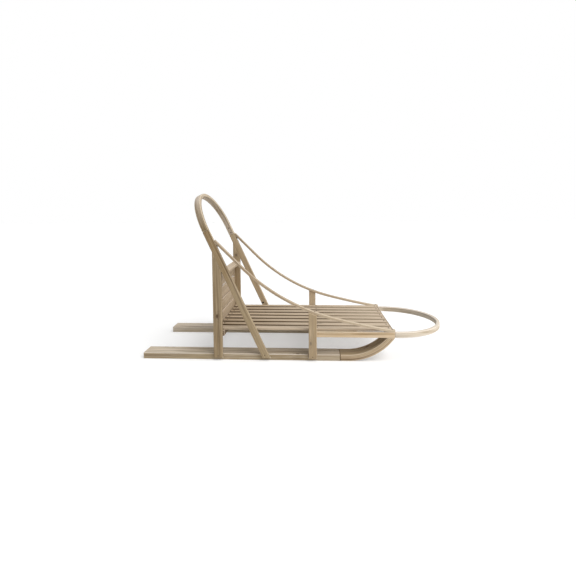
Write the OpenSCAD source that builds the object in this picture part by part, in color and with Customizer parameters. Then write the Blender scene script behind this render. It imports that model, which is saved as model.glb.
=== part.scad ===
// Decorative dog sled of natural wood: two runners with bent noses, a slatted seat and back,
// a bent handle hoop on long leaning legs, bent hand rails and a bent brush bow in front.
// Millimetres. +X is forward, +Y the sled's left, +Z up. The floor is z = 0 and the origin is
// the middle of the bounding box's underside.

/* [Runners] */
// Width of the sled over the outer faces of the runners
track_w = 420; // [360:5:500]
// Width of a runner
runner_w = 73; // [60:1:90]
// Thickness of a runner
runner_t = 24; // [18:1:30]
// Length of the straight runner board, rear end to nose joint
board_l = 772; // [700:1:860]
// Straight stretch of the nose before its bend
nose_straight = 30; // [15:1:60]
// Outer radius of the bent nose
nose_r = 218; // [180:1:260]
// Tongue of the nose that sits in the board's slot: length
tongue_l = 26; // [15:1:35]
// Tongue of the nose: width
tongue_w = 38; // [25:1:45]
// Tongue of the nose: thickness
tongue_t = 8; // [5:0.5:10]

/* [Posts and legs] */
// Thickness of posts, hoop legs and hoop, across the sled
post_t = 15; // [12:0.5:20]
// Depth that posts and legs are let into the runners
housing_d = 4; // [2:0.5:6]
// Height of the posts' and legs' feet above the floor
foot_z = 10; // [3:0.5:14]
// Rear edge of the rear posts, from the runners' rear end
rear_post_x = 283; // [240:1:320]
// Width of a rear post along the sled
rear_post_w = 34; // [28:1:40]
// Rear edge of the front posts, back from the nose joint
front_post_setback = 121; // [90:1:150]
// Width of a front post along the sled
front_post_w = 31; // [26:1:36]

/* [Handle hoop] */
// Lean of the hoop and its legs from upright, in degrees
hoop_lean = 24.85; // [22:0.05:27]
// Rear edge of the legs at floor level, ahead of the rear posts' rear edge
leg_spread = 195; // [170:1:220]
// Width of the legs and the hoop along the sled
leg_w = 26.5; // [22:0.5:34]
// Length of the legs from floor level to the hoop's bend
leg_l = 547; // [480:1:620]
// Rise of the hoop's half ellipse
hoop_rise = 161; // [130:1:200]
// Length of the lapped joints of hoop and brush bow
lap_l = 44; // [30:1:60]

/* [Seat] */
// Height of the underside of the side rails and bearers
rail_z = 92; // [80:1:105]
// Height of the side rails, the bearers and the brush bow
rail_h = 22; // [18:0.5:26]
// Thickness of the side rails and the brush bow
rail_t = 14; // [12:0.5:18]
// Straight stretch of the brush bow before its bend
bow_straight = 10; // [5:1:30]
// Thickness of a seat slat
slat_t = 8; // [6:0.5:10]
// Gap between seat slats
slat_gap = 18; // [12:0.5:24]
// Gap between the outer seat slats and the side rails
slat_edge_gap = 1; // [0.5:0.5:4]
// Gap between the back and the rear ends of the seat slats
slat_rear_gap = 4; // [2:0.5:10]
// Front end of the seat slats, back from the brush bow's joint
slat_front_setback = 10; // [4:1:25]
// Width of the rear and middle bearers along the sled
bearer_w = 40; // [34:1:48]

/* [Back] */
// Thickness of a back slat
back_t = 8; // [6:0.5:10]
// Gap above each back slat
back_gap = 6; // [3:0.5:12]
// Top of the back, below the point where the legs cross the posts' front faces
back_drop = 16; // [8:1:24]
// Height of the flat rail on top of the back
back_rail_h = 12; // [9:0.5:16]
// Depth that the slats and the rail of the back are let into the posts
back_housing_d = 4; // [2:0.5:6]

/* [Hand rails] */
// Thickness of a hand rail
hand_t = 10; // [7:0.5:13]
// Width of a hand rail across the sled
hand_w = 15; // [12:0.5:20]
// Overhang of the posts beyond the outer edge of the hand rails
hand_inset = 0.5; // [0:0.5:3]
// Length of the hand rail's flat landing on the side rail
landing_l = 10; // [6:1:20]
// Radius of the upper face in the front bend
hand_front_r = 100; // [80:5:150]
// Slope after the front bend, in degrees
hand_front_slope = 10.2; // [9:0.2:11.4]
// Radius of the upper face in the long middle bend
hand_middle_r = 3000; // [2500:10:3500]
// Slope after the middle bend, in degrees
hand_middle_slope = 14.2; // [13:0.2:16]
// Straight stretch behind the rear bend, up to the leg
hand_straight_l = 155; // [120:1:200]
// Where the line of the upper face meets the leg, down from the start of the hoop's bend
hand_drop = 31; // [25:1:50]
// Thickness of the hand rail's blunt upper end
hand_tip_t = 5; // [3:0.5:7]

/* [Joints] */
// Length of the bearers' stub tenons
tenon_l = 5; // [3:0.5:7]
// Shoulder around a stub tenon
tenon_shoulder = 5; // [3:0.5:6]

/* [Hidden] */
$fn = 96;
// Play around tongues, tenons and housings
play = 0.2;
SLAT_COUNT = 8;
BACK_SLAT_COUNT = 4;
// Straight pieces that make up a bend of a hand rail, and the hoop
BEND_STEPS = 16;
HOOP_STEPS = 64;

half_track = track_w / 2;

// The nose's outer bend ends at the bow joint, at the height of the side rail's underside
function nose_reach(radius) = round(10 * sqrt(radius ^ 2 - (nose_r - rail_z) ^ 2)) / 10;
nose_bend_x = board_l + nose_straight;
nose_top_x = nose_bend_x + nose_reach(nose_r - runner_t);
bow_joint_x = nose_bend_x + nose_reach(nose_r);
overall_l = bow_joint_x + bow_straight + half_track;
// More than any piece measures, for cuts that pass right through
through = 2 * overall_l;

// Posts and legs stand between these distances from the middle plane
post_in = half_track - housing_d;
post_out = post_in + post_t;
front_post_x = board_l - front_post_setback;
leg_x = rear_post_x + leg_spread;
rear_post_top = leg_spread / tan(hoop_lean);

rail_top = rail_z + rail_h;
rail_in = half_track - rail_t;
seat_top = rail_top + slat_t;
seat_half_w = rail_in - slat_edge_gap;
slat_rear_x = rear_post_x + back_t + slat_rear_gap;
slat_l = bow_joint_x - slat_front_setback - slat_rear_x;
slat_pitch = (2 * seat_half_w + slat_gap) / SLAT_COUNT;
slat_w = slat_pitch - slat_gap;

// The lowest back slat stands on the rear bearer
back_top = (leg_spread - rear_post_w) / tan(hoop_lean) - back_drop;
back_pitch = (back_top - back_rail_h - rail_top) / BACK_SLAT_COUNT;
back_half_l = post_in + back_housing_d;

// Bearers: rear edge, width along the sled, half length without tenons, width of the tenons
BEARERS = [
    [rear_post_x, bearer_w, post_in, rear_post_w - 2 * tenon_shoulder],
    [front_post_x, bearer_w, rail_in, bearer_w - 2 * tenon_shoulder],
    [nose_top_x, bow_joint_x - nose_top_x, rail_in, 0],
];
BEARER_X = 0;
BEARER_W = 1;
BEARER_HALF_L = 2;
TENON_W = 3;
REAR = 0;
MIDDLE = 1;
FRONT = 2;

// A hand rail's upper face runs from the bow joint to the front face of the leg, and is worked out as
// points with x, z and slope. An arc starts at a point, curves upward and ends at a given slope.
function arc_point(from, radius, slope) = [
    from.x - radius * (sin(slope) - sin(from.z)),
    from.y + radius * (cos(from.z) - cos(slope)),
    slope
];
function arc_points(from, radius, slope) =
    [for (step = [1 : BEND_STEPS]) arc_point(from, radius, from.z + (slope - from.z) * step / BEND_STEPS)];

hand_y = post_out - hand_inset - hand_w;
hand_leg_l = leg_l - hand_drop;
HAND_END = [
    leg_x + leg_w * cos(hoop_lean) - hand_leg_l * sin(hoop_lean),
    leg_w * sin(hoop_lean) + hand_leg_l * cos(hoop_lean)
];
HAND_LANDING = [bow_joint_x - landing_l, rail_top + hand_t, 0];
HAND_FRONT = arc_point(HAND_LANDING, hand_front_r, hand_front_slope);
HAND_MIDDLE = arc_point(HAND_FRONT, hand_middle_r, hand_middle_slope);
// The rear bend starts at the middle bend's end, and its radius and end slope are those for which a
// straight stretch of the given length runs on from it to the leg
hand_across = HAND_END - [HAND_MIDDLE.x, HAND_MIDDLE.y];
hand_normal = [sin(hand_middle_slope), cos(hand_middle_slope)];
hand_rear_r = (hand_across * hand_across - hand_straight_l ^ 2) / (2 * hand_across * hand_normal);
hand_reach = hand_across - hand_rear_r * hand_normal;
hand_rear_slope = atan2(-hand_reach.x, -hand_reach.y) - atan2(hand_straight_l, hand_rear_r);
// Beyond the leg's front face, where the rail is cut
hand_over_l = hand_straight_l + leg_w;
// From the line's end on the leg to the blunt upper end
hand_tip_l = hand_tip_t / tan(90 - hoop_lean - hand_rear_slope);
HAND_REAR = arc_point(HAND_MIDDLE, hand_rear_r, hand_rear_slope);
HAND_TOP = [
    [bow_joint_x, rail_top + hand_t, 0],
    HAND_LANDING,
    each arc_points(HAND_LANDING, hand_front_r, hand_front_slope),
    each arc_points(HAND_FRONT, hand_middle_r, hand_middle_slope),
    each arc_points(HAND_MIDDLE, hand_rear_r, hand_rear_slope),
    [
        HAND_REAR.x - hand_over_l * cos(hand_rear_slope),
        HAND_REAR.y + hand_over_l * sin(hand_rear_slope),
        hand_rear_slope
    ],
];
HAND_UNDERSIDE = [for (p = HAND_TOP) [p.x - hand_t * sin(p.z), p.y - hand_t * cos(p.z)]];

// The hoop is half an ellipse that runs on from the legs without a kink: y and distance up the legs
// on its outer edge, and on its inner edge, square to it, one thickness further in
HOOP_TURNS = [for (step = [0 : HOOP_STEPS]) 180 * step / HOOP_STEPS];
HOOP_OUTER = [for (turn = HOOP_TURNS) [post_out * cos(turn), leg_l + hoop_rise * sin(turn)]];
HOOP_INNER = [
    for (turn = HOOP_TURNS)
        let (square = [hoop_rise * cos(turn), post_out * sin(turn)])
        [post_out * cos(turn), leg_l + hoop_rise * sin(turn)] - post_t * square / norm(square)
];

// Pieces are modelled with x from the runners' rear end, and moved so that the origin is in the middle
module placed() {
    translate([-overall_l / 2, 0, 0]) children();
}

// A piece of the left side, or its mirror image on the right
module on_side(left) {
    placed() mirror([0, left ? 0 : 1, 0]) children();
}

// Frame of the leaning hoop: x through its width, z up along the legs
module in_hoop() {
    translate([leg_x, 0, 0]) rotate([0, -hoop_lean, 0]) children();
}

// A flat outline in x and z, drawn out to the left from y = 0
module upright(width) {
    translate([0, width, 0]) rotate([90, 0, 0]) linear_extrude(width) children();
}

// Everything in front of the legs' rear face, or behind their front face
module ahead_of_legs() {
    in_hoop() translate([0, -through / 2, -through / 2]) cube(through);
}
module behind_legs() {
    in_hoop() translate([leg_w - through, -through / 2, -through / 2]) cube(through);
}

// A hand rail is turned inward about the middle of its upper end, so that its inner edge ends over
// the inner face of the side rail
module toed_in() {
    pivot = [HAND_END.x, hand_y + hand_w / 2, 0];
    turn = asin((hand_y - rail_in) / (bow_joint_x - HAND_END.x));
    translate(pivot) rotate([0, 0, -turn]) translate(-pivot) children();
}

// Everything beyond the blunt upper end of a hand rail
module beyond_hand_tip() {
    translate([HAND_END.x, 0, HAND_END.y]) rotate([0, hand_rear_slope, 0])
        translate([hand_tip_l - through, -through / 2, -through / 2]) cube(through);
}

// Everything above the underside of a hand rail
module above_hand_rail() {
    toed_in() upright(through) polygon([
        each HAND_UNDERSIDE, [HAND_UNDERSIDE[len(HAND_UNDERSIDE) - 1].x, through], [bow_joint_x, through]
    ]);
}

module rear_post_blank(gap) {
    translate([rear_post_x - gap, post_in, foot_z])
        cube([rear_post_w + 2 * gap, post_t, rear_post_top - foot_z]);
}

module front_post_blank(gap) {
    translate([front_post_x - gap, post_in, foot_z])
        cube([front_post_w + 2 * gap, post_t, leg_l]);
}

module leg_blank(gap) {
    difference() {
        in_hoop() translate([-gap, post_in, -leg_w]) cube([leg_w + 2 * gap, post_t, leg_w + leg_l]);
        translate([0, -through / 2, foot_z - through]) cube(through);
    }
}

// Tongue at the rear of the nose, and with a gap the slot for it
module nose_tongue(gap) {
    edge = (runner_w - tongue_w) / 2;
    translate([board_l - tongue_l - gap, half_track - runner_w + edge - gap, (runner_t - tongue_t) / 2 - gap])
        cube([tongue_l + gap, tongue_w + 2 * gap, tongue_t + 2 * gap]);
}

// Stub tenon at the left end of a bearer, and with a gap its mortise
module bearer_tenon(index, gap) {
    bearer = BEARERS[index];
    inset = tenon_shoulder - gap;
    translate([bearer[BEARER_X] + inset, bearer[BEARER_HALF_L], rail_z + inset])
        cube([bearer[TENON_W] + 2 * gap, tenon_l + gap, rail_h - 2 * inset]);
}

// Slat of the back, flush with the posts' rear faces, and with a gap the housings for it
module back_slat_blank(index, gap) {
    translate([rear_post_x - gap, -back_half_l, rail_top + (index - 1) * back_pitch - gap])
        cube([back_t + 2 * gap, 2 * back_half_l, back_pitch - back_gap + 2 * gap]);
}

// Rail on top of the back, as deep as the posts, and with a gap the housings for it
module back_rail_blank(gap) {
    translate([rear_post_x - gap, -back_half_l, back_top - back_rail_h - gap])
        cube([rear_post_w + 2 * gap, 2 * back_half_l, back_rail_h + 2 * gap]);
}

module runner_board(left) {
    color("#9c8b72") on_side(left) difference() {
        translate([0, half_track - runner_w, 0]) cube([board_l, runner_w, runner_t]);
        nose_tongue(play);
        rear_post_blank(play);
        front_post_blank(play);
        leg_blank(play);
    }
}

module runner_nose(left) {
    color("#a08f76") on_side(left) union() {
        nose_tongue(0);
        translate([board_l, half_track - runner_w, 0])
            cube([nose_bend_x - board_l, runner_w, runner_t]);
        intersection() {
            translate([nose_bend_x, half_track - runner_w, nose_r]) upright(runner_w) difference() {
                circle(nose_r);
                circle(nose_r - runner_t);
            }
            translate([nose_bend_x, 0, 0]) cube([through, through, rail_z]);
        }
    }
}

module rear_post(left) {
    color("#8f7c5c") on_side(left) difference() {
        rear_post_blank(0);
        ahead_of_legs();
        bearer_tenon(REAR, play);
        back_rail_blank(play);
        for (index = [1 : BACK_SLAT_COUNT]) back_slat_blank(index, play);
    }
}

module front_post(left) {
    color("#8f7c5c") on_side(left) difference() {
        front_post_blank(0);
        above_hand_rail();
    }
}

module hoop_leg(left) {
    color("#a3906f") on_side(left) difference() {
        leg_blank(0);
        in_hoop() translate([-leg_w, post_in - post_t / 2, leg_l - lap_l])
            cube([3 * leg_w, post_t, 2 * lap_l]);
    }
}

module handle_hoop() {
    lap_y = post_in + post_t / 2;
    lap_z = leg_l - lap_l;
    color("#ab9a7d") placed() in_hoop() rotate([90, 0, 90]) linear_extrude(leg_w) polygon([
        each [for (p = HOOP_OUTER) [p.x, p.y]],
        [-lap_y, leg_l],
        [-lap_y, lap_z],
        [-post_in, lap_z],
        for (i = [len(HOOP_INNER) - 1 : -1 : 0]) HOOP_INNER[i],
        [post_in, lap_z],
        [lap_y, lap_z],
        [lap_y, leg_l],
    ]);
}

module hand_rail(left) {
    color("#97876c") on_side(left) difference() {
        toed_in() translate([0, hand_y, 0]) upright(hand_w) polygon([
            each [for (p = HAND_TOP) [p.x, p.y]],
            for (i = [len(HAND_UNDERSIDE) - 1 : -1 : 0]) HAND_UNDERSIDE[i],
        ]);
        behind_legs();
        beyond_hand_tip();
    }
}

module side_rail(left) {
    color("#a3906f") on_side(left) difference() {
        translate([front_post_x, rail_in, rail_z]) cube([bow_joint_x - front_post_x, rail_t, rail_h]);
        front_post_blank(play);
        bearer_tenon(MIDDLE, play);
        translate([bow_joint_x - lap_l, rail_in - rail_t / 2, 0]) cube([2 * lap_l, rail_t, through]);
    }
}

module brush_bow() {
    color("#b3a58d") placed() translate([bow_joint_x, 0, rail_z]) union() {
        for (end = [0, 1]) mirror([0, end, 0]) {
            translate([-lap_l, rail_in, 0]) cube([lap_l, rail_t / 2, rail_h]);
            translate([0, rail_in, 0]) cube([bow_straight, rail_t, rail_h]);
        }
        translate([bow_straight, 0, 0]) rotate([0, 0, -90]) rotate_extrude(angle = 180)
            translate([rail_in, 0]) square([rail_t, rail_h]);
    }
}

module bearer(index) {
    bearer = BEARERS[index];
    color("#8a7a60") placed() union() {
        translate([bearer[BEARER_X], -bearer[BEARER_HALF_L], rail_z])
            cube([bearer[BEARER_W], 2 * bearer[BEARER_HALF_L], rail_h]);
        if (bearer[TENON_W] > 0) for (end = [0, 1]) mirror([0, end, 0]) bearer_tenon(index, 0);
    }
}

// Seat slats are numbered from left to right
module seat_slat(index) {
    color("#a5957b") placed()
        translate([slat_rear_x, seat_half_w - slat_w - (index - 1) * slat_pitch, rail_top])
        cube([slat_l, slat_w, slat_t]);
}

module back_rail() {
    color("#8a7a60") placed() back_rail_blank(0);
}

// Back slats are numbered from the seat up
module back_slat(index) {
    color("#a5957b") placed() back_slat_blank(index, 0);
}

runner_board(true);  // runner_board_left
runner_board(false);  // runner_board_right
runner_nose(true);  // runner_nose_left
runner_nose(false);  // runner_nose_right
rear_post(true);  // rear_post_left
rear_post(false);  // rear_post_right
front_post(true);  // front_post_left
front_post(false);  // front_post_right
hoop_leg(true);  // hoop_leg_left
hoop_leg(false);  // hoop_leg_right
handle_hoop();
hand_rail(true);  // hand_rail_left
hand_rail(false);  // hand_rail_right
side_rail(true);  // side_rail_left
side_rail(false);  // side_rail_right
brush_bow();
bearer(REAR);  // bearer_rear
bearer(MIDDLE);  // bearer_middle
bearer(FRONT);  // bearer_front
seat_slat(1);  // seat_slat_1
seat_slat(2);  // seat_slat_2
seat_slat(3);  // seat_slat_3
seat_slat(4);  // seat_slat_4
seat_slat(5);  // seat_slat_5
seat_slat(6);  // seat_slat_6
seat_slat(7);  // seat_slat_7
seat_slat(8);  // seat_slat_8
back_rail();
back_slat(1);  // back_slat_1
back_slat(2);  // back_slat_2
back_slat(3);  // back_slat_3
back_slat(4);  // back_slat_4
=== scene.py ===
"""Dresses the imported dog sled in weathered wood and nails, and lights it as in a studio."""

import math
import random

import bpy
import numpy as np
from mathutils import Matrix, Vector


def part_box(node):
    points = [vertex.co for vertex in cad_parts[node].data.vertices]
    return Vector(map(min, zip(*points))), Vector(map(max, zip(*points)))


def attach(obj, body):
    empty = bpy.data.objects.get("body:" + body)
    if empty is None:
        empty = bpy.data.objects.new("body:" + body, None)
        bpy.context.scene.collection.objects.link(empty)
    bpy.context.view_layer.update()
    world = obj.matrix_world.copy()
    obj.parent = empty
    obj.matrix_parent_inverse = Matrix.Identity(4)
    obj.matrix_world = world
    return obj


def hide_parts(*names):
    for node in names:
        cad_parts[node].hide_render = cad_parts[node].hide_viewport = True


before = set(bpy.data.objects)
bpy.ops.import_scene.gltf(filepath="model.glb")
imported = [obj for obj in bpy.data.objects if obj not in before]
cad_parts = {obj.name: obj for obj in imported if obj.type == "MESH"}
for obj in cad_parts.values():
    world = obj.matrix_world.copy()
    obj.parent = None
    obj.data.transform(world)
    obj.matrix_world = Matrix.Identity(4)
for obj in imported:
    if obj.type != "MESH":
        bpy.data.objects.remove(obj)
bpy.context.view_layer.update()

# Runner boards: two planks of weathered spruce, sawn square, that lie flat on the floor and carry the sled.
# Their outer edges are housed for the feet of posts and legs, and the bent noses are tongued into their
# front ends.
RUNNER_WOOD = {"pale": "#d9cfc1", "body": "#9a8661", "grey": "#cdbfab", "dark": "#604c34"}
RUNNER_SHADE = (0.1, -0.35)
# The left runner's sides are painted paler: painted light for the light that falls on the far side
RUNNER_SIDE_SHADE = {"left": -0.7, "right": 0.0}
RUNNER_ROUNDING = 0.002
SHARP = math.radians(40)
# Knots have a colour of their own, and holes a near-black painted shade. The figure of the grain is sized along,
# across and through it.
KNOT = "#4a3622"
HOLE_SHADE = "#1c140d"
KNOT_CELL = (0.26, 0.13)
SWAY = (0.38, 0.07, 0.07)
FIBRE = (0.14, 0.0025, 0.0025)
STREAK = (0.4, 0.012, 0.012)
PATCH = (0.28, 0.08, 0.08)
RING_SWAY = 0.03
RING_PARTING = 0.014
# Rounded edges and bored holes keep slots of their own until the grain is laid and the dirt and painted shade are
# marked.
EDGE_SLOT = 1
HOLE_SLOT = 2
END_DIRT = 0.45
SEAM_DIRT = 0.6
HOLE_SHADE_MARK = 2.0
SEAM_WIDTH = 0.002
FACING = 0.7
SHADE_SPREAD = 0.12
chance = random.Random(11)


def linear(colour):
    """An sRGB hex colour as the linear colour that a shader takes."""
    parts = [int(colour[i:i + 2], 16) / 255 for i in (1, 3, 5)]
    return [c / 12.92 if c <= 0.04045 else ((c + 0.055) / 1.055) ** 2.4 for c in parts] + [1.0]


def add(tree, kind, inputs, **settings):
    """A new node with its settings, its fixed values and its links. A node given as a value links its first
    output."""
    made = tree.nodes.new(kind)
    for name, value in settings.items():
        setattr(made, name, value)
    for socket, value in inputs.items():
        if isinstance(value, bpy.types.Node):
            value = value.outputs[0]
        if isinstance(value, bpy.types.NodeSocket):
            tree.links.new(value, made.inputs[socket])
        else:
            made.inputs[socket].default_value = value
    return made


def aged_wood(name, pale, body, grey, dark, ring, knots, figure=1.0, rub=1.0):
    """Weathered wood, from the grain that lay_grain leaves on a piece: metres along, across and through it. ring
    is the width of a year ring in metres, knots the share of grain cells that hold a knot, figure the strength of
    rings and streaks, and rub how far its edges are paled by wear, which also scales the painted light on the
    sides of pieces that have it."""
    wood = bpy.data.materials.new(name)
    wood.use_nodes = True
    tree = wood.node_tree
    shader = tree.nodes["Principled BSDF"]
    grain = add(tree, "ShaderNodeAttribute", {}, attribute_name="grain").outputs["Vector"]

    # A cell of 260 mm along the grain and 130 mm across it holds at most one knot, about 15 by 8 mm
    flat = (1 / KNOT_CELL[0], 1 / KNOT_CELL[1], 0)
    cell = add(tree, "ShaderNodeVectorMath", {0: grain, 1: flat}, operation="MULTIPLY")
    spot = add(tree, "ShaderNodeTexVoronoi", {"Vector": cell, "Scale": 1}, voronoi_dimensions="2D")
    lot = add(tree, "ShaderNodeSeparateColor", {"Color": spot.outputs["Color"]})
    present = add(tree, "ShaderNodeMath", {0: lot.outputs["Red"], 1: knots}, operation="LESS_THAN")
    core = add(tree, "ShaderNodeMapRange", {
        "Value": spot.outputs["Distance"], "From Min": 0.022, "From Max": 0.036, "To Min": 1, "To Max": 0,
    }, interpolation_type="SMOOTHSTEP")
    knot = add(tree, "ShaderNodeMath", {0: core, 1: present}, operation="MULTIPLY")
    near = add(tree, "ShaderNodeMapRange", {
        "Value": spot.outputs["Distance"], "From Min": 0, "From Max": 0.15, "To Min": 1, "To Max": 0,
    }, interpolation_type="SMOOTHSTEP")
    halo = add(tree, "ShaderNodeMath", {0: near, 1: present}, operation="MULTIPLY")

    # One more knot, about 15 by 9 mm, where lay_grain puts it
    place = add(tree, "ShaderNodeAttribute", {}, attribute_name="knot_at").outputs["Vector"]
    apart = add(tree, "ShaderNodeVectorMath", {0: grain, 1: place}, operation="SUBTRACT")
    apart = add(tree, "ShaderNodeVectorMath", {0: apart, 1: (0.6, 1, 0)}, operation="MULTIPLY")
    apart = add(tree, "ShaderNodeVectorMath", {0: apart}, operation="LENGTH").outputs["Value"]
    core = add(tree, "ShaderNodeMapRange", {
        "Value": apart, "From Min": 0.003, "From Max": 0.006, "To Min": 0.85, "To Max": 0,
    }, interpolation_type="SMOOTHSTEP")
    near = add(tree, "ShaderNodeMapRange", {
        "Value": apart, "From Min": 0, "From Max": 0.022, "To Min": 1, "To Max": 0,
    }, interpolation_type="SMOOTHSTEP")
    knot = add(tree, "ShaderNodeMath", {0: knot, 1: core}, operation="MAXIMUM")
    halo = add(tree, "ShaderNodeMath", {0: halo, 1: near}, operation="MAXIMUM")

    # Year rings round a heart outside the board: they sway about a centimetre and part round the knots
    slow = add(tree, "ShaderNodeVectorMath", {0: grain, 1: [1 / size for size in SWAY]}, operation="MULTIPLY")
    sway = add(tree, "ShaderNodeTexNoise", {"Vector": slow, "Scale": 1, "Detail": 2})
    section = add(tree, "ShaderNodeVectorMath", {0: grain, 1: (0, 1, 1)}, operation="MULTIPLY")
    radius = add(tree, "ShaderNodeVectorMath", {0: section}, operation="LENGTH").outputs["Value"]
    swayed = add(tree, "ShaderNodeMath", {0: sway, 1: RING_SWAY, 2: radius}, operation="MULTIPLY_ADD")
    parted = add(tree, "ShaderNodeMath", {0: halo, 1: -RING_PARTING, 2: swayed}, operation="MULTIPLY_ADD")
    turns = add(tree, "ShaderNodeMath", {0: parted, 1: ring}, operation="DIVIDE")
    year = add(tree, "ShaderNodeMath", {0: turns}, operation="FRACT")
    number = add(tree, "ShaderNodeMath", {0: turns}, operation="FLOOR")
    season = add(tree, "ShaderNodeTexWhiteNoise", {"W": number}, noise_dimensions="1D")
    late = add(tree, "ShaderNodeMapRange", {
        "Value": year, "From Min": 0.3, "From Max": 0.9, "To Min": 0, "To Max": 1,
    }, interpolation_type="SMOOTHSTEP")
    stop = add(tree, "ShaderNodeMapRange", {
        "Value": year, "From Min": 0.9, "From Max": 1, "To Min": 1, "To Max": 0,
    })
    band = add(tree, "ShaderNodeMath", {0: late, 1: stop}, operation="MULTIPLY")
    line = add(tree, "ShaderNodeMath", {0: band, 1: season}, operation="MULTIPLY")

    # Fibres of 2.5 mm, drawn coarser than the real 0.5 mm so that they show, streaks of 12 mm and patches of
    # 80 mm
    long = add(tree, "ShaderNodeVectorMath", {0: grain, 1: [1 / size for size in FIBRE]}, operation="MULTIPLY")
    fibre = add(tree, "ShaderNodeTexNoise", {"Vector": long, "Scale": 1, "Detail": 3, "Roughness": 0.65})
    wide = add(tree, "ShaderNodeVectorMath", {0: grain, 1: [1 / size for size in STREAK]}, operation="MULTIPLY")
    streak = add(tree, "ShaderNodeTexNoise", {"Vector": wide, "Scale": 1, "Detail": 2, "Roughness": 0.6})
    broad = add(tree, "ShaderNodeVectorMath", {0: grain, 1: [1 / size for size in PATCH]}, operation="MULTIPLY")
    patch = add(tree, "ShaderNodeTexNoise", {"Vector": broad, "Scale": 1, "Detail": 2})

    # Faces that look up are paler and greyer, partly greyed in the sun and partly painted light from above, and
    # the others are greyed only in patches
    sky = add(tree, "ShaderNodeAttribute", {}, attribute_name="skyward").outputs["Fac"]
    greyed_and_lit = add(tree, "ShaderNodeMapRange", {
        "Value": patch, "From Min": 0.36, "From Max": 0.64, "To Min": 0, "To Max": 0.5,
    }, interpolation_type="SMOOTHSTEP")
    greyed_and_lit = add(
        tree, "ShaderNodeMath", {0: sky, 1: 0.6, 2: greyed_and_lit}, operation="MULTIPLY_ADD", use_clamp=True,
    )
    ground = add(tree, "ShaderNodeMixRGB", {0: greyed_and_lit, 1: linear(body), 2: linear(grey)})
    ringed = add(tree, "ShaderNodeMath", {0: line, 1: 0.62 * figure}, operation="MULTIPLY")
    ground = add(tree, "ShaderNodeMixRGB", {0: ringed, 1: ground, 2: linear(dark)})
    stained = add(tree, "ShaderNodeMapRange", {
        "Value": streak, "From Min": 0.5, "From Max": 0.75, "To Min": 0, "To Max": 0.8 * figure,
    }, interpolation_type="SMOOTHSTEP")
    ground = add(tree, "ShaderNodeMixRGB", {0: stained, 1: ground, 2: linear(dark)})
    lifted = add(tree, "ShaderNodeMapRange", {
        "Value": fibre, "From Min": 0.5, "From Max": 0.75, "To Min": 0, "To Max": 0.55,
    }, interpolation_type="SMOOTHSTEP")
    ground = add(tree, "ShaderNodeMixRGB", {0: lifted, 1: ground, 2: linear(pale)})
    sunken = add(tree, "ShaderNodeMapRange", {
        "Value": fibre, "From Min": 0.28, "From Max": 0.42, "To Min": 0.4, "To Max": 0,
    }, interpolation_type="SMOOTHSTEP")
    ground = add(tree, "ShaderNodeMixRGB", {0: sunken, 1: ground, 2: linear(dark)})
    shaded = add(tree, "ShaderNodeMath", {0: halo, 1: 0.3}, operation="MULTIPLY")
    ground = add(tree, "ShaderNodeMixRGB", {0: shaded, 1: ground, 2: linear(dark)})
    ground = add(tree, "ShaderNodeMixRGB", {0: knot, 1: ground, 2: linear(KNOT)})

    # Each piece has a shade of its own, from -1, darkest, to 1, palest. It is partly the piece's own tone and
    # partly painted light: pieces on the far side and the slats toward the front are painted paler where light
    # falls stronger, and the bearers darker for the shade under the seat.
    shade = add(tree, "ShaderNodeAttribute", {}, attribute_name="shade").outputs["Fac"]
    browner = add(tree, "ShaderNodeMapRange", {
        "Value": shade, "From Min": -1, "From Max": 0, "To Min": 0.5, "To Max": 0,
    })
    ground = add(tree, "ShaderNodeMixRGB", {0: browner, 1: ground, 2: linear(dark)})
    paler = add(tree, "ShaderNodeMapRange", {
        "Value": shade, "From Min": 0, "From Max": 1, "To Min": 0, "To Max": 0.6,
    })
    ground = add(tree, "ShaderNodeMixRGB", {0: paler, 1: ground, 2: linear(pale)})

    # Edges are rubbed pale in places, and the sides of a piece marked for painted light are painted paler. Cut
    # ends and seams are darker with the dirt that they hold, and the sides of narrow gaps with painted shade, the
    # less so the paler the piece; holes are darkest, with a near-black painted shade.
    wear_and_light = add(tree, "ShaderNodeAttribute", {}, attribute_name="wear_and_light").outputs["Fac"]
    pale_strength = add(tree, "ShaderNodeMapRange", {
        "Value": streak, "From Min": 0.35, "From Max": 0.6, "To Min": 0.15 * rub, "To Max": 0.75 * rub,
    })
    paled = add(tree, "ShaderNodeMath", {0: wear_and_light, 1: pale_strength}, operation="MULTIPLY")
    ground = add(tree, "ShaderNodeMixRGB", {0: paled, 1: ground, 2: linear(pale)})
    dirt_and_shade = add(tree, "ShaderNodeAttribute", {}, attribute_name="dirt_and_shade").outputs["Fac"]
    cleaner_and_lit = add(tree, "ShaderNodeMapRange", {
        "Value": shade, "From Min": 0, "From Max": 1, "To Min": 1, "To Max": 0.05,
    })
    darkening = add(tree, "ShaderNodeMath", {0: dirt_and_shade, 1: cleaner_and_lit}, operation="MULTIPLY")
    ground = add(tree, "ShaderNodeMixRGB", {0: darkening, 1: ground, 2: linear(dark)})
    hollow = add(tree, "ShaderNodeMath", {0: dirt_and_shade, 1: 1.5}, operation="GREATER_THAN")
    ground = add(tree, "ShaderNodeMixRGB", {0: hollow, 1: ground, 2: linear(HOLE_SHADE)})
    tree.links.new(ground.outputs[0], shader.inputs["Base Color"])

    gloss = add(tree, "ShaderNodeMapRange", {
        "Value": fibre, "From Min": 0.3, "From Max": 0.7, "To Min": 0.78, "To Max": 0.58,
    })
    tree.links.new(gloss.outputs[0], shader.inputs["Roughness"])
    shader.inputs["IOR"].default_value = 1.46
    shader.inputs["Specular IOR Level"].default_value = 0.35

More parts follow.
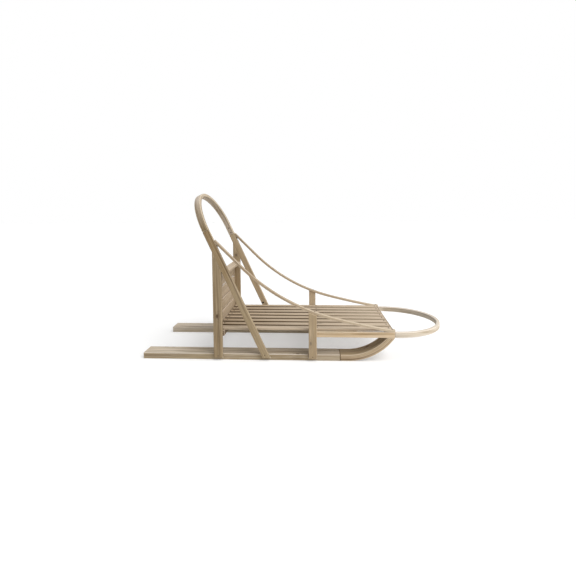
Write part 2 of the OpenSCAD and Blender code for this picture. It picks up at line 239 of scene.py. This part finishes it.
    raised = add(tree, "ShaderNodeMath", {0: line, 1: 0.6, 2: fibre}, operation="MULTIPLY_ADD")
    level = add(tree, "ShaderNodeMath", {0: knot, 1: 0.5, 2: raised}, operation="MULTIPLY_ADD")
    bump = add(tree, "ShaderNodeBump", {"Height": level, "Strength": 0.55, "Distance": 0.0008})
    tree.links.new(bump.outputs[0], shader.inputs["Normal"])
    return wood


def dressed(node, wood, rounding, bent=False):
    """A copy of a CAD node with its facets joined and its edges rounded. Rounded edges keep the second slot, and
    the third is for bored holes."""
    piece = bpy.data.objects.new(f"{node}_timber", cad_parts[node].data.copy())
    bpy.context.collection.objects.link(piece)
    piece.data.materials.clear()
    for slot in range(3):
        piece.data.materials.append(wood)
    bpy.ops.object.select_all(action="DESELECT")
    bpy.context.view_layer.objects.active = piece
    piece.select_set(True)
    bpy.ops.mesh.customdata_custom_splitnormals_clear()
    bpy.ops.object.mode_set(mode="EDIT")
    bpy.ops.mesh.select_all(action="SELECT")
    bpy.ops.mesh.remove_doubles(threshold=0.00002)
    if bent:
        bpy.ops.mesh.tris_convert_to_quads(face_threshold=math.radians(2), shape_threshold=math.radians(80))
    else:
        bpy.ops.mesh.dissolve_limited(angle_limit=math.radians(1))
    bpy.ops.object.mode_set(mode="OBJECT")
    edges = piece.modifiers.new("rounded_edges", "BEVEL")
    edges.width = rounding
    edges.segments = 3
    edges.limit_method = "ANGLE"
    edges.angle_limit = SHARP
    edges.material = EDGE_SLOT
    bpy.ops.object.modifier_apply(modifier=edges.name)
    return piece


def lay_grain(piece, along, across, shade=(0, 0), knot=None, side_shade=0.0, seam=None):
    """Leaves the grain on a piece: how far each point lies along a line, across it and through it, from a heart
    of its own. Also leaves its shade, from the line's start to its end, and the place of a knot along and across
    it. Marks the faces that look up, the edges paled by wear, the dirty cut ends and a seam along the line, and
    the holes, for a near-black painted shade. Faces that look across get painted shade where the side value is
    above zero, as in narrow gaps, and painted light where it is below zero. Then smooths the shading."""
    line = np.array(along, dtype=float)
    across = np.array(across, dtype=float)
    steps = np.diff(line, axis=0)
    lengths = np.linalg.norm(steps, axis=1)
    ways = steps / lengths[:, None]
    starts = np.concatenate([[0], np.cumsum(lengths)[:-1]])

    def nearest(points):
        reach = np.einsum("psk,sk->ps", points[:, None] - line[None, :-1], ways)
        low = np.zeros(len(lengths))
        high = lengths.copy()
        low[0] = -1
        high[-1] += 1
        reach = np.clip(reach, low, high)
        rest = points[:, None] - (line[None, :-1] + reach[..., None] * ways)
        best = np.argmin(np.linalg.norm(rest, axis=2), axis=1)
        row = np.arange(len(points))
        return starts[best] + reach[row, best], rest[row, best], ways[best]

    mesh = piece.data
    points = np.empty(len(mesh.vertices) * 3)
    mesh.vertices.foreach_get("co", points)
    run, rest, way = nearest(points.reshape(-1, 3))
    through = np.cross(way, across)
    heart = (
        chance.uniform(0, 40), chance.choice((-1, 1)) * chance.uniform(0.01, 0.05), chance.uniform(0.03, 0.09),
    )
    grain = np.stack(
        [run + heart[0], rest @ across + heart[1], np.sum(rest * through, axis=1) + heart[2]], axis=1,
    )
    placed = np.array([knot[0] + heart[0], knot[1] + heart[1], 0]) if knot else np.array([-9.0, 0, 0])
    for name, values in (("grain", grain), ("knot_at", np.tile(placed, (len(grain), 1)))):
        vectors = mesh.attributes.new(name, "FLOAT_VECTOR", "POINT")
        vectors.data.foreach_set("vector", values.astype(np.float32).ravel())
    tone = np.interp(run, np.linspace(0, lengths.sum(), len(shade)), shade)
    tone += chance.uniform(-SHADE_SPREAD, SHADE_SPREAD)
    mesh.attributes.new("shade", "FLOAT", "POINT").data.foreach_set("value", tone.astype(np.float32))

    count = len(mesh.polygons)
    slots = np.empty(count, dtype=np.int32)
    mesh.polygons.foreach_get("material_index", slots)
    centres = np.empty(count * 3)
    normals = np.empty(count * 3)
    mesh.polygons.foreach_get("center", centres)
    mesh.polygons.foreach_get("normal", normals)
    normals = normals.reshape(-1, 3)
    skyward = np.clip(normals[:, 2], 0, 1)
    reached, _, way = nearest(centres.reshape(-1, 3))
    joined = np.full(count, False) if seam is None else np.abs(reached - seam) < SEAM_WIDTH
    ends = np.abs(np.sum(normals * way, axis=1)) > FACING
    sides = np.abs(normals @ across) > FACING
    wear_and_light = np.where((slots == EDGE_SLOT) & ~joined, 1.0, np.where(sides, max(0.0, -side_shade), 0.0))
    dirt_and_shade = np.select(
        [slots == HOLE_SLOT, joined, ends, sides], [HOLE_SHADE_MARK, SEAM_DIRT, END_DIRT, max(0.0, side_shade)], 0.0,
    )
    for name, values in (("skyward", skyward), ("wear_and_light", wear_and_light), ("dirt_and_shade", dirt_and_shade)):
        mesh.attributes.new(name, "FLOAT", "FACE").data.foreach_set("value", values.astype(np.float32))
    mesh.polygons.foreach_set("material_index", np.zeros(count, dtype=np.int32))
    mesh.materials.pop(index=HOLE_SLOT)
    mesh.materials.pop(index=EDGE_SLOT)

    bpy.ops.object.select_all(action="DESELECT")
    bpy.context.view_layer.objects.active = piece
    piece.select_set(True)
    bpy.ops.object.shade_smooth_by_angle(angle=SHARP)
    flats = piece.modifiers.new("flat_faces", "WEIGHTED_NORMAL")
    flats.keep_sharp = True
    bpy.ops.object.modifier_apply(modifier=flats.name)


# Weathered spruce: silver-grey on top, partly greyed by the sun and partly painted light from above, tan at the
# sides, with pale raised fibres and dark year rings
runner_wood = aged_wood("weathered_spruce", **RUNNER_WOOD, ring=0.007, knots=0.45)
rear_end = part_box("runner_board_left")[0].x
for side in ("left", "right"):
    board = dressed(f"runner_board_{side}", runner_wood, RUNNER_ROUNDING)
    low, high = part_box(f"runner_board_{side}")
    middle = (low + high) / 2
    line = [(low.x, middle.y, middle.z), (high.x, middle.y, middle.z)]
    lay_grain(board, line, (0, 1, 0), RUNNER_SHADE, side_shade=RUNNER_SIDE_SHADE[side], seam=high.x - low.x)
    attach(board, "root")
    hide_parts(f"runner_board_{side}")

# Runner noses: short bends of steamed ash that carry the runners up to the front bearer. A tongue holds each
# in its board, and its tip is sawn level under the side rail.
BENT_WOOD = {"pale": "#d3c3aa", "body": "#bba486", "grey": "#a28e70", "dark": "#665036"}
NOSE_STRAIGHT = (0.772, 0.802)
NOSE_RADIUS = 0.218
NOSE_THICKNESS = 0.024
NOSE_SWEEP = 60
NOSE_STEPS = 30
NOSE_ROUNDING = 0.0025
# Steamed ash: the grain runs round the bend in long dark lines, on a slightly warmer ground
bent_wood = aged_wood("steamed_ash", **BENT_WOOD, ring=0.006, knots=0.12)
nose_line = [(rear_end + NOSE_STRAIGHT[0], 0, NOSE_THICKNESS / 2)]
reach = NOSE_RADIUS - NOSE_THICKNESS / 2
for step in range(NOSE_STEPS + 1):
    turn = math.radians(NOSE_SWEEP * step / NOSE_STEPS)
    nose_line.append((
        rear_end + NOSE_STRAIGHT[1] + reach * math.sin(turn), 0, NOSE_RADIUS - reach * math.cos(turn),
    ))
for side in ("left", "right"):
    nose = dressed(f"runner_nose_{side}", bent_wood, NOSE_ROUNDING, bent=True)
    low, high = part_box(f"runner_nose_{side}")
    line = [(x, (low.y + high.y) / 2, z) for x, _, z in nose_line]
    lay_grain(nose, line, (0, 1, 0), seam=0.0)
    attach(nose, "root")
    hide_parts(f"runner_nose_{side}")

# Rear posts: boards of aged pine, let into the runners' outer edges, cut on the slant against the hoop's legs
# and housed for the back's boards and rail. A nail is sunk into the foot of each.
POST_WOOD = {"pale": "#cdb99d", "body": "#88714e", "grey": "#a8987c", "dark": "#503d28"}
# The left post, on the far side, is painted paler: partly its own tone, partly painted light
POST_SHADE = {"left": (0.4, 0.2), "right": (-0.15, -0.35)}
POST_KNOT = {"left": (0.352, -0.002), "right": (0.164, -0.001)}
POST_ROUNDING = 0.002
SINK_RADIUS = 0.0018
SINK_DEPTH = 0.002
FOOT_NAIL = 0.0175
# Aged pine: olive brown, with darker streaks down the boards and a small knot here and there
post_wood = aged_wood("aged_pine", **POST_WOOD, ring=0.006, knots=0.3, figure=0.7, rub=0.35)
sunk = []


def bore(piece, place, radius, depth):
    """Sinks a blind hole into a piece, from a point on a face that looks across the sled."""
    bpy.ops.object.select_all(action="DESELECT")
    bpy.ops.mesh.primitive_cylinder_add(
        vertices=24, radius=radius, depth=2 * depth, location=place, rotation=(math.pi / 2, 0, 0),
    )
    drill = bpy.context.object
    for slot in range(3):
        drill.data.materials.append(piece.data.materials[0])
    for face in drill.data.polygons:
        face.material_index = HOLE_SLOT
    hole = piece.modifiers.new("hole", "BOOLEAN")
    hole.object = drill
    hole.operation = "DIFFERENCE"
    hole.solver = "EXACT"
    bpy.context.view_layer.objects.active = piece
    bpy.ops.object.modifier_apply(modifier=hole.name)
    bpy.data.objects.remove(drill)


for side in ("left", "right"):
    post = dressed(f"rear_post_{side}", post_wood, POST_ROUNDING)
    low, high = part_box(f"rear_post_{side}")
    middle = (low + high) / 2
    nail_place = Vector((middle.x, high.y if side == "left" else low.y, FOOT_NAIL))
    bore(post, nail_place, SINK_RADIUS, SINK_DEPTH)
    sunk.append(nail_place)
    line = [(middle.x, middle.y, low.z), (middle.x, middle.y, high.z)]
    lay_grain(post, line, (1, 0, 0), POST_SHADE[side], POST_KNOT[side])
    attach(post, "root")
    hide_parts(f"rear_post_{side}")

# Hoop legs: long leaning boards of aged pine from the runners to the hoop, each halved at its top for the lap
# joint. Each has a small blind hole in its inner face, and a nail sunk into its foot.
LEG_FOOT = 0.478
LEG_LEAN = math.radians(24.85)
LEG_WIDTH = 0.0265
LEG_LENGTH = 0.547
POST_INNER = 0.206
POST_OUTER = 0.221
# The left leg, on the far side, is painted paler, most of all at its foot: partly its own tone, partly painted
# light
LEG_SHADE = {"left": (0.75, 0.1), "right": (-0.1, -0.25)}
LEG_ROUNDING = 0.0025
LEG_NAIL = 0.019
LEG_HOLE = (0.4267, 0.1291)
LEG_HOLE_RADIUS = 0.0045
LEG_HOLE_DEPTH = 0.012
leg_up = Vector((-math.sin(LEG_LEAN), 0, math.cos(LEG_LEAN)))
leg_ahead = Vector((math.cos(LEG_LEAN), 0, math.sin(LEG_LEAN)))
leg_start = Vector((rear_end + LEG_FOOT, 0, 0)) + leg_ahead * LEG_WIDTH / 2
leg_nail = leg_start + leg_up * LEG_NAIL
for side, sign in (("left", 1), ("right", -1)):
    leg = dressed(f"hoop_leg_{side}", post_wood, LEG_ROUNDING)
    hole = (rear_end + LEG_HOLE[0], sign * POST_INNER, LEG_HOLE[1])
    bore(leg, hole, LEG_HOLE_RADIUS, LEG_HOLE_DEPTH)
    nail_place = Vector((leg_nail.x, sign * POST_OUTER, leg_nail.z))
    bore(leg, nail_place, SINK_RADIUS, SINK_DEPTH)
    sunk.append(nail_place)
    foot = leg_start + Vector((0, sign * (POST_INNER + POST_OUTER) / 2, 0))
    lay_grain(leg, [foot, foot + leg_up * LEG_LENGTH], leg_ahead, LEG_SHADE[side])
    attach(leg, "root")
    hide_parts(f"hoop_leg_{side}")

# Handle hoop: one strip of steamed ash, bent to half an ellipse and lapped to the inner halves of the legs'
# tops. It is what the driver holds, and the highest piece of the sled.
HOOP_WOOD = {"pale": "#cdbda3", "body": "#77623b", "grey": "#d8cabb", "dark": "#523f28"}
HOOP_RISE = 0.161
HOOP_TAIL = 0.05
HOOP_STEPS = 64
HOOP_SHADE = (-0.15, 0.0, 0.35, 0.0, -0.15)
HOOP_ROUNDING = 0.0035
# Handled ash: dark with age on its sides, and pale along its top, partly bleached and partly painted light from
# above
hoop_wood = aged_wood("handled_ash", **HOOP_WOOD, ring=0.006, knots=0.1)
hoop = dressed("handle_hoop", hoop_wood, HOOP_ROUNDING, bent=True)
half_strip = (POST_OUTER - POST_INNER) / 2
hoop_line = [leg_start + Vector((0, POST_OUTER - half_strip, 0)) + leg_up * (LEG_LENGTH - HOOP_TAIL)]
for step in range(HOOP_STEPS + 1):
    turn = math.radians(180 * step / HOOP_STEPS)
    square = Vector((HOOP_RISE * math.cos(turn), POST_OUTER * math.sin(turn))).normalized()
    y = POST_OUTER * math.cos(turn) - half_strip * square.x
    up = LEG_LENGTH + HOOP_RISE * math.sin(turn) - half_strip * square.y
    hoop_line.append(leg_start + Vector((0, y, 0)) + leg_up * up)
hoop_line.append(leg_start + Vector((0, half_strip - POST_OUTER, 0)) + leg_up * (LEG_LENGTH - HOOP_TAIL))
lay_grain(hoop, hoop_line, leg_ahead, HOOP_SHADE)
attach(hoop, "root")
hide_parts("handle_hoop")

# Side rails: square strips of pale pine along the front half of the seat, halved into the front posts and
# lapped to the brush bow.
RAIL_WOOD = {"pale": "#e2d2b8", "body": "#cdb493", "grey": "#ccbba2", "dark": "#8b714c"}
RAIL_ROUNDING = 0.002
# Pale pine: cleaner and lighter than the posts, with long thin streaks
rail_wood = aged_wood("pale_pine", **RAIL_WOOD, ring=0.006, knots=0.08)
for side in ("left", "right"):
    rail = dressed(f"side_rail_{side}", rail_wood, RAIL_ROUNDING)
    low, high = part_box(f"side_rail_{side}")
    middle = (low + high) / 2
    line = [(low.x, middle.y, middle.z), (high.x, middle.y, middle.z)]
    lay_grain(rail, line, (0, 0, 1))
    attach(rail, "root")
    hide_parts(f"side_rail_{side}")

# Front posts: shorter boards of aged pine, let into the runners and halved into the side rails. Their tops are
# cut to the underside of the hand rails, and a nail is sunk into the foot of each.
# The left post, on the far side, is painted much paler: partly its own tone, partly painted light
FRONT_SHADE = {"left": (1.0, 1.0), "right": (0.35, 0.35)}
for side in ("left", "right"):
    post = dressed(f"front_post_{side}", post_wood, POST_ROUNDING)
    low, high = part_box(f"front_post_{side}")
    middle = (low + high) / 2
    nail_place = Vector((middle.x, high.y if side == "left" else low.y, FOOT_NAIL))
    bore(post, nail_place, SINK_RADIUS, SINK_DEPTH)
    sunk.append(nail_place)
    line = [(middle.x, middle.y, low.z), (middle.x, middle.y, high.z)]
    lay_grain(post, line, (1, 0, 0), FRONT_SHADE[side])
    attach(post, "root")
    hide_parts(f"front_post_{side}")

# Brush bow: a strip of steamed ash bent to a half circle in front of the seat, where the sled meets the brush.
# Its ends are lapped to the side rails.
BOW_WOOD = {"pale": "#e4dace", "body": "#c2b5a1", "grey": "#d6ccbe", "dark": "#948165"}
BOW_JOINT = 0.9799
BOW_STRAIGHT = 0.01
BOW_RADIUS = 0.203
BOW_LAP = 0.044
BOW_STEPS = 60
BOW_ROUNDING = 0.003
# Bleached ash: almost white, with faint tan lines along the bend
bow_wood = aged_wood("bleached_ash", **BOW_WOOD, ring=0.006, knots=0.0)
bow = dressed("brush_bow", bow_wood, BOW_ROUNDING, bent=True)
low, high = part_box("brush_bow")
middle = (low + high) / 2
bow_middle = rear_end + BOW_JOINT + BOW_STRAIGHT
bow_line = [(bow_middle - BOW_STRAIGHT - BOW_LAP, BOW_RADIUS, middle.z)]
for step in range(BOW_STEPS + 1):
    turn = math.radians(180 * step / BOW_STEPS)
    bow_line.append((bow_middle + BOW_RADIUS * math.sin(turn), BOW_RADIUS * math.cos(turn), middle.z))
bow_line.append((bow_middle - BOW_STRAIGHT - BOW_LAP, -BOW_RADIUS, middle.z))
lay_grain(bow, bow_line, (0, 0, 1))
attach(bow, "root")
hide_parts("brush_bow")

# Bearers: three cross pieces of weathered pine under the seat, tenoned into posts and side rails. The front one
# lies on the noses.
SLAT_WOOD = {"pale": "#cfbea8", "body": "#8d7757", "grey": "#ae9b83", "dark": "#4c3a25"}
# The bearers are painted dark: painted shade for the shadow under the seat
BEARER_PAINTED_SHADE = (-0.9, -0.9)
BEARER_ROUNDING = 0.002
# Weathered pine: thin boards that have greyed unevenly, each a shade of its own
slat_wood = aged_wood("weathered_pine", **SLAT_WOOD, ring=0.006, knots=0.15, figure=0.45)
for name in ("rear", "middle", "front"):
    bearer = dressed(f"bearer_{name}", slat_wood, BEARER_ROUNDING)
    low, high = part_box(f"bearer_{name}")
    middle = (low + high) / 2
    line = [(middle.x, low.y, middle.z), (middle.x, high.y, middle.z)]
    lay_grain(bearer, line, (1, 0, 0), BEARER_PAINTED_SHADE)
    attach(bearer, "root")
    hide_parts(f"bearer_{name}")

# Seat slats: eight thin boards along the sled, laid on the bearers with a finger's gap and nailed down. Painted
# shade darkens the gaps, and the slat at the right edge is paler.
SLAT_COUNT = 8
SLAT_ROUNDING = 0.0016
# The slats are painted paler toward the front, as painted light that grows toward the front, which also eases the
# painted shade in their gaps
SLAT_SHADE = (-0.15, 0.85)
EDGE_SLAT_SHADE = (0.35, 0.95)
# Painted shade on the slats' sides, for the shade in the gaps between them
SLAT_GAP_SHADE = 0.95
SLAT_KNOTS = {3: (0.395, 0.0124), 5: (0.397, 0.0084), 7: (0.402, 0.0062)}
NAIL_ROWS = (0.309, 0.684, 0.960)
seat_nails = []
for number in range(1, SLAT_COUNT + 1):
    slat = dressed(f"seat_slat_{number}", slat_wood, SLAT_ROUNDING)
    low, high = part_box(f"seat_slat_{number}")
    middle = (low + high) / 2
    line = [(low.x, middle.y, middle.z), (high.x, middle.y, middle.z)]
    if number < SLAT_COUNT:
        lay_grain(slat, line, (0, 1, 0), SLAT_SHADE, SLAT_KNOTS.get(number), SLAT_GAP_SHADE)
    else:
        lay_grain(slat, line, (0, 1, 0), EDGE_SLAT_SHADE)
    seat_nails += [Vector((rear_end + row, middle.y, high.z)) for row in NAIL_ROWS]
    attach(slat, "root")
    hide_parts(f"seat_slat_{number}")

# Back: four thin boards of the seat's pine between the rear posts, let into their rear edges, and a flat rail on
# top that is housed across the posts.
BACK_SHADE = (0.45, 0.45)
for name in ("back_rail", "back_slat_1", "back_slat_2", "back_slat_3", "back_slat_4"):
    board = dressed(name, slat_wood, SLAT_ROUNDING)
    low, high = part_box(name)
    middle = (low + high) / 2
    across = (1, 0, 0) if name == "back_rail" else (0, 0, 1)
    lay_grain(board, [(middle.x, low.y, middle.z), (middle.x, high.y, middle.z)], across, BACK_SHADE)
    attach(board, "root")
    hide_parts(name)

# Hand rails: thin strips of steamed ash that sweep from the legs down over the front posts to the side rails.
# Each has three bends and a straight, and a blunt upper end against its leg.
HAND_WOOD = {"pale": "#c9baa3", "body": "#a18b6f", "grey": "#ae9d87", "dark": "#5f4a33"}
HAND_SHADE = (0.95, 0.3, -0.5)
HAND_THICKNESS = 0.010
HAND_ROUNDING = 0.002
HAND_LANDING = (0.9699, 0.124)
HAND_FRONT = (0.100, math.radians(10.2))
HAND_MIDDLE = (3.000, math.radians(14.2))
HAND_STRAIGHT = 0.155
HAND_MEETS_LEG = 0.516
HAND_MIDDLES = (0.213, 0.2035)
BEND_STEPS = 16
# Rubbed ash: paler than the hoop, most of all toward the front, with fine lines along the bend
hand_wood = aged_wood("rubbed_ash", **HAND_WOOD, ring=0.006, knots=0.1)


def bend_on(points, radius, slope):
    """Carries a hand rail's upper face on round a bend, from its last point to a slope."""
    x, z, start = points[-1]
    for step in range(1, BEND_STEPS + 1):
        turn = start + (slope - start) * step / BEND_STEPS
        ahead = radius * (math.sin(turn) - math.sin(start))
        rise = radius * (math.cos(start) - math.cos(turn))
        points.append((x - ahead, z + rise, turn))


hand_top = [(rear_end + BOW_JOINT, HAND_LANDING[1], 0), (rear_end + HAND_LANDING[0], HAND_LANDING[1], 0)]
bend_on(hand_top, *HAND_FRONT)
bend_on(hand_top, *HAND_MIDDLE)
hand_end = leg_start + leg_ahead * LEG_WIDTH / 2 + leg_up * HAND_MEETS_LEG
gap = Vector((hand_end.x - hand_top[-1][0], hand_end.z - hand_top[-1][1]))
square = Vector((math.sin(HAND_MIDDLE[1]), math.cos(HAND_MIDDLE[1])))
rear_radius = (gap.length_squared - HAND_STRAIGHT ** 2) / (2 * gap.dot(square))
past = gap - rear_radius * square
bend_on(hand_top, rear_radius, math.atan2(-past.x, -past.y) - math.atan2(HAND_STRAIGHT, rear_radius))
hand_top.append((hand_end.x, hand_end.z, hand_top[-1][2]))
hand_reach = hand_top[0][0] - hand_end.x


def hand_aside(x):
    """How far the middle of a hand rail lies from the sled's own middle, where its upper face is at x."""
    return HAND_MIDDLES[0] + (HAND_MIDDLES[1] - HAND_MIDDLES[0]) * (x - hand_end.x) / hand_reach


half_hand = HAND_THICKNESS / 2
for side, sign in (("left", 1), ("right", -1)):
    hand = dressed(f"hand_rail_{side}", hand_wood, HAND_ROUNDING, bent=True)
    hand_line = [
        (x - half_hand * math.sin(slope), sign * hand_aside(x), z - half_hand * math.cos(slope))
        for x, z, slope in hand_top
    ]
    lay_grain(hand, hand_line, (0, 1, 0), HAND_SHADE)
    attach(hand, "root")
    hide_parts(f"hand_rail_{side}")

# Nails: cut from wire, with round heads that have rusted dark. Long ones hold the slats and the hand rails, and
# short ones the laps of the hoop. Stout ones stop the hand rails on the legs, and their big dark heads also stand
# for the shadow in the corner under each rail's upper end. The small ones in the feet of posts and legs are sunk.
NAIL_SHANK = 0.0012
NAIL_DOME = 0.0004
NAIL_CROWN = 0.7
LONG_NAIL = {"length": 0.022, "head": 0.0028, "lift": 0.0009}
LAP_NAIL = {"length": 0.012, "head": 0.0024, "lift": 0.0009}
SUNK_NAIL = {"length": 0.020, "head": 0.0017, "lift": 0.0009}
# The stop nails' big dark heads stand partly for the shadow in the corner under each hand rail's upper end
STOP_NAIL_SHADOW = {"length": 0.018, "head": 0.005, "lift": 0.004}
LAP_PLACES = (0.010, 0.034)
STOP_PLACE = 0.479
RUST_DARK = "#1f1611"
RUST_BROWN = "#46311f"
RUST_SPOT = 0.002
# Rusted steel: brown-black, mottled in spots of 2 mm
rusted = bpy.data.materials.new("rusted_steel")
rusted.use_nodes = True
tree = rusted.node_tree
shader = tree.nodes["Principled BSDF"]
where = add(tree, "ShaderNodeTexCoord", {}).outputs["Object"]
mottle = add(tree, "ShaderNodeTexNoise", {"Vector": where, "Scale": 1 / RUST_SPOT, "Detail": 2})
rust = add(tree, "ShaderNodeMixRGB", {0: mottle, 1: linear(RUST_DARK), 2: linear(RUST_BROWN)})
tree.links.new(rust.outputs[0], shader.inputs["Base Color"])
shader.inputs["Roughness"].default_value = 0.8
shader.inputs["Specular IOR Level"].default_value = 0.25


def forge_nail(length, head, lift):
    """A nail with the underside of its head at the origin and its head upward. head is the head's radius, and
    lift its height."""
    bpy.ops.object.select_all(action="DESELECT")
    bpy.ops.mesh.primitive_circle_add(vertices=16, radius=NAIL_SHANK, fill_type="NGON")
    nail = bpy.context.object
    nail.data.transform(Matrix.Translation((0, 0, -length)))
    bpy.ops.object.mode_set(mode="EDIT")
    bpy.ops.mesh.select_all(action="SELECT")
    bpy.ops.mesh.extrude_region_move(TRANSFORM_OT_translate={"value": (0, 0, length)})
    bpy.ops.mesh.extrude_region_move()
    bpy.ops.transform.resize(value=(head / NAIL_SHANK, head / NAIL_SHANK, 1))
    bpy.ops.mesh.extrude_region_move(TRANSFORM_OT_translate={"value": (0, 0, lift)})
    bpy.ops.mesh.extrude_region_move(TRANSFORM_OT_translate={"value": (0, 0, NAIL_DOME)})
    bpy.ops.transform.resize(value=(NAIL_CROWN, NAIL_CROWN, 1))
    bpy.ops.mesh.select_all(action="SELECT")
    bpy.ops.mesh.normals_make_consistent(inside=False)
    bpy.ops.object.mode_set(mode="OBJECT")
    nail.data.materials.append(rusted)
    bpy.ops.object.shade_smooth_by_angle(angle=SHARP)
    return nail


long_nail = forge_nail(**LONG_NAIL)
lap_nail = forge_nail(**LAP_NAIL)
sunk_nail = forge_nail(**SUNK_NAIL)
stop_nail_shadow = forge_nail(**STOP_NAIL_SHADOW)
driven = [(long_nail, place, Vector((0, 0, 1))) for place in seat_nails]
for place in sunk:
    outward = Vector((0, math.copysign(1, place.y), 0))
    driven.append((sunk_nail, place - outward * SINK_DEPTH, outward))
stop = leg_start + leg_ahead * LEG_WIDTH / 2 + leg_up * STOP_PLACE
for sign in (1, -1):
    driven.append((stop_nail_shadow, stop + Vector((0, sign * (POST_INNER + POST_OUTER) / 2, 0)), leg_ahead))
    for up in LAP_PLACES:
        place = leg_start + leg_up * (LEG_LENGTH - up)
        driven.append((lap_nail, Vector((place.x, sign * POST_INNER, place.z)), Vector((0, -sign, 0))))
front_middle = (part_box("front_post_left")[0].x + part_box("front_post_left")[1].x) / 2
for goal in (rear_end + HAND_LANDING[0], front_middle):
    x, z, slope = min(hand_top, key=lambda point: abs(point[0] - goal))
    outward = Vector((math.sin(slope), 0, math.cos(slope)))
    for sign in (1, -1):
        driven.append((long_nail, Vector((x, sign * hand_aside(x), z)), outward))
for number, (pattern, place, outward) in enumerate(driven, 1):
    nail = pattern.copy()
    nail.data = pattern.data.copy()
    nail.name = f"nail_{number:02d}"
    bpy.context.collection.objects.link(nail)
    nail.data.transform(Matrix.Translation(place) @ outward.to_track_quat("Z", "Y").to_matrix().to_4x4())
    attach(nail, "root")
for pattern in (long_nail, lap_nail, sunk_nail, stop_nail_shadow):
    bpy.data.objects.remove(pattern)

# Studio: a white floor that runs out of sight, a wide soft lamp overhead, a low wide fill from behind the
# camera, a softbox at the front and white all round. The first two are far away, so that they light the whole
# floor evenly.
FLOOR = "#ffffff"
FLOOR_BOUNCE = "#d2d2d2"
FLOOR_GLOW = 0.28
FLOOR_SIZE = 30
FLOOR_DROP = 0.0004
ROOM = 0.46
LAMP_DISTANCE = 3
KEY_FROM = Vector((0.48, -0.22, 0.85))
KEY_POWER = 2.15
KEY_WIDTH = math.radians(50)
FILL_FROM = Vector((0.25, -0.95, 0.15))
FILL_POWER = 0.58
FILL_WIDTH = math.radians(40)
SOFTBOX_PLACE = Vector((1.9, -1.2, 0.9))
SOFTBOX_AIM = Vector((0.2, 0, 0.15))
SOFTBOX_SIZE = 1.2
SOFTBOX_POWER = 18
bpy.ops.object.select_all(action="DESELECT")
bpy.ops.mesh.primitive_plane_add(size=FLOOR_SIZE, location=(0, 0, -FLOOR_DROP))
floor = bpy.context.object
floor.name = "floor"
paper = bpy.data.materials.new("white_paper")
paper.use_nodes = True
tree = paper.node_tree
tree.nodes.clear()
ray = add(tree, "ShaderNodeLightPath", {}).outputs
matt = add(tree, "ShaderNodeBsdfDiffuse", {"Color": linear(FLOOR)})
glow = add(tree, "ShaderNodeEmission", {"Color": (1, 1, 1, 1), "Strength": 1.0})
seen = add(tree, "ShaderNodeMixShader", {0: FLOOR_GLOW, 1: matt, 2: glow})
dim = add(tree, "ShaderNodeBsdfDiffuse", {"Color": linear(FLOOR_BOUNCE)})
shown = add(tree, "ShaderNodeMath", {0: ray["Is Camera Ray"], 1: ray["Is Glossy Ray"]}, operation="MAXIMUM")
shown = add(tree, "ShaderNodeMath", {0: shown, 1: ray["Is Transmission Ray"]}, operation="MAXIMUM")
both = add(tree, "ShaderNodeMixShader", {0: shown, 1: dim, 2: seen})
add(tree, "ShaderNodeOutputMaterial", {"Surface": both})
floor.data.materials.append(paper)

scene = bpy.context.scene
scene.view_settings.view_transform = "Standard"
room = bpy.data.worlds.new("white_room")
scene.world = room
room.use_nodes = True
tree = room.node_tree
tree.nodes.clear()
ray = add(tree, "ShaderNodeLightPath", {}).outputs
shown = add(tree, "ShaderNodeMath", {0: ray["Is Camera Ray"], 1: ray["Is Glossy Ray"]}, operation="MAXIMUM")
shown = add(tree, "ShaderNodeMath", {0: shown, 1: ray["Is Transmission Ray"]}, operation="MAXIMUM")
light = add(tree, "ShaderNodeBackground", {"Color": (1, 1, 1, 1), "Strength": ROOM})
white = add(tree, "ShaderNodeBackground", {"Color": (1, 1, 1, 1), "Strength": 1.0})
both = add(tree, "ShaderNodeMixShader", {0: shown, 1: light, 2: white})
add(tree, "ShaderNodeOutputWorld", {"Surface": both})

for name, source, power, width in (
    ("key", KEY_FROM, KEY_POWER, KEY_WIDTH), ("fill", FILL_FROM, FILL_POWER, FILL_WIDTH),
):
    bpy.ops.object.light_add(type="SUN", location=source * LAMP_DISTANCE)
    lamp = bpy.context.object
    lamp.name = name
    lamp.data.energy = power
    lamp.data.angle = width
    lamp.rotation_euler = (-source).to_track_quat("-Z", "Y").to_euler()
bpy.ops.object.light_add(type="AREA", location=SOFTBOX_PLACE)
lamp = bpy.context.object
lamp.name = "softbox"
lamp.data.size = SOFTBOX_SIZE
lamp.data.energy = SOFTBOX_POWER
lamp.rotation_euler = (SOFTBOX_AIM - SOFTBOX_PLACE).to_track_quat("-Z", "Y").to_euler()

# Camera: on the sled's right side, a little ahead of its middle and above it, with the lens shifted as the
# picture is framed.
CAMERA_PLACE = (0.0604, -1.7642, 0.5885)
CAMERA_TURN = 0.0555
CAMERA_DIP = 0.0695
CAMERA_ROLL = -0.0065
FOCAL_PIXELS = 411.7
SHIFT_PIXELS = -56.9
IMAGE_HEIGHT = 587
SENSOR = 36
bpy.ops.object.camera_add(location=CAMERA_PLACE)
camera = bpy.context.object
turn = Matrix.Rotation(CAMERA_TURN, 3, "Z")
dip = Matrix.Rotation(math.pi / 2 - CAMERA_DIP, 3, "X")
roll = Matrix.Rotation(CAMERA_ROLL, 3, "Z")
camera.rotation_euler = (turn @ dip @ roll).to_euler()
camera.data.sensor_width = SENSOR
camera.data.lens = SENSOR * FOCAL_PIXELS / IMAGE_HEIGHT
camera.data.shift_y = SHIFT_PIXELS / IMAGE_HEIGHT
scene.camera = camera
